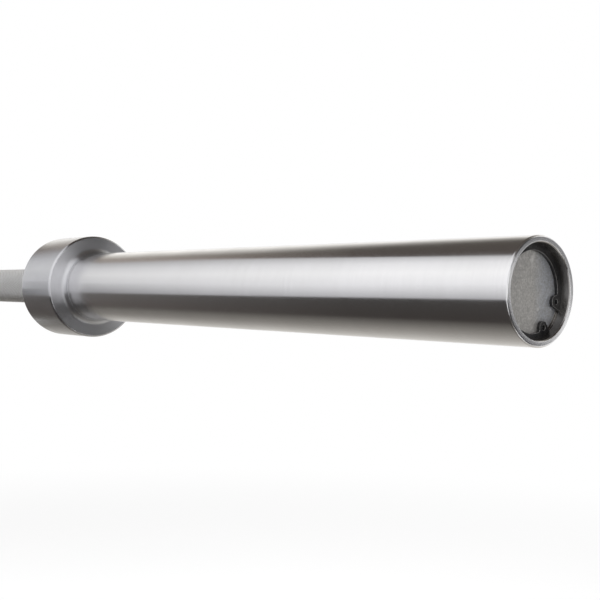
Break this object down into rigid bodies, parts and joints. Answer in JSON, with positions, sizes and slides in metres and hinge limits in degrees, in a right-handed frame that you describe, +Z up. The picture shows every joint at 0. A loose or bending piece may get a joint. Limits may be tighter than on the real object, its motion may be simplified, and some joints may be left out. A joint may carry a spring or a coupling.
{
  "type": "olympic barbell",
  "caption": "Long steel weightlifting bar with a knurled shaft, a thick round collar and a smooth free-turning sleeve on each end.",
  "frame": {"origin": "on the shaft's axis, midway between the two ends", "axes": "+X along the bar, from its middle to the right sleeve's end; +Z up; a sleeve turns about X"},
  "size_m": [2.2, 0.076, 0.076],
  "materials": {
    "shaft_steel": "satin, knurled",
    "sleeve_steel": "fine turned",
    "collar_steel": "satin turned",
    "disc_steel": "matt mottled",
    "ring_black": "oiled black",
    "seal_rubber": "matt",
    "washer_bronze": "ground",
    "bushing_bronze": "turned",
    "bearing_steel": "drawn",
    "cage_steel": "pressed",
    "roller_steel": "polished"
  },
  "bodies": {
    "shaft": {"shaft": "shaft_steel", "right_inner_thrust_washer": "washer_bronze", "right_outer_thrust_washer": "washer_bronze", "right_shaft_retaining_ring": "ring_black", "left_inner_thrust_washer": "washer_bronze", "left_outer_thrust_washer": "washer_bronze", "left_shaft_retaining_ring": "ring_black"},
    "right_sleeve": {"right_sleeve": "sleeve_steel", "right_collar": "collar_steel", "right_dust_seal": "seal_rubber", "right_flanged_bushing": "bushing_bronze", "right_inner_bearing_cup": "bearing_steel", "right_outer_bearing_cup": "bearing_steel", "right_end_disc": "disc_steel", "right_end_retaining_ring": "ring_black"},
    "right_inner_cage": {"right_inner_bearing_cage": "cage_steel", "right_inner_bearing_rollers": "roller_steel"},
    "right_outer_cage": {"right_outer_bearing_cage": "cage_steel", "right_outer_bearing_rollers": "roller_steel"},
    "left_sleeve": {"left_sleeve": "sleeve_steel", "left_collar": "collar_steel", "left_dust_seal": "seal_rubber", "left_flanged_bushing": "bushing_bronze", "left_inner_bearing_cup": "bearing_steel", "left_outer_bearing_cup": "bearing_steel", "left_end_disc": "disc_steel", "left_end_retaining_ring": "ring_black"},
    "left_inner_cage": {"left_inner_bearing_cage": "cage_steel", "left_inner_bearing_rollers": "roller_steel"},
    "left_outer_cage": {"left_outer_bearing_cage": "cage_steel", "left_outer_bearing_rollers": "roller_steel"}
  },
  "joints": [
    {"name": "right_sleeve_spin", "type": "hinge", "parent": "shaft", "child": "right_sleeve", "pos_m": [0.9, 0, 0], "axis": [1, 0, 0], "continuous": true},
    {"name": "right_inner_cage_spin", "type": "hinge", "parent": "shaft", "child": "right_inner_cage", "pos_m": [0.711, 0, 0], "axis": [1, 0, 0], "continuous": true},
    {"name": "right_outer_cage_spin", "type": "hinge", "parent": "shaft", "child": "right_outer_cage", "pos_m": [1.06, 0, 0], "axis": [1, 0, 0], "continuous": true},
    {"name": "left_sleeve_spin", "type": "hinge", "parent": "shaft", "child": "left_sleeve", "pos_m": [-0.9, 0, 0], "axis": [1, 0, 0], "continuous": true},
    {"name": "left_inner_cage_spin", "type": "hinge", "parent": "shaft", "child": "left_inner_cage", "pos_m": [-0.711, 0, 0], "axis": [1, 0, 0], "continuous": true},
    {"name": "left_outer_cage_spin", "type": "hinge", "parent": "shaft", "child": "left_outer_cage", "pos_m": [-1.06, 0, 0], "axis": [1, 0, 0], "continuous": true}
  ],
  "couplings": [
    {"joint": "right_inner_cage_spin", "follows": "right_sleeve_spin", "ratio": 0.54546},
    {"joint": "right_outer_cage_spin", "follows": "right_sleeve_spin", "ratio": 0.54546},
    {"joint": "left_inner_cage_spin", "follows": "left_sleeve_spin", "ratio": 0.54546},
    {"joint": "left_outer_cage_spin", "follows": "left_sleeve_spin", "ratio": 0.54546}
  ]
}
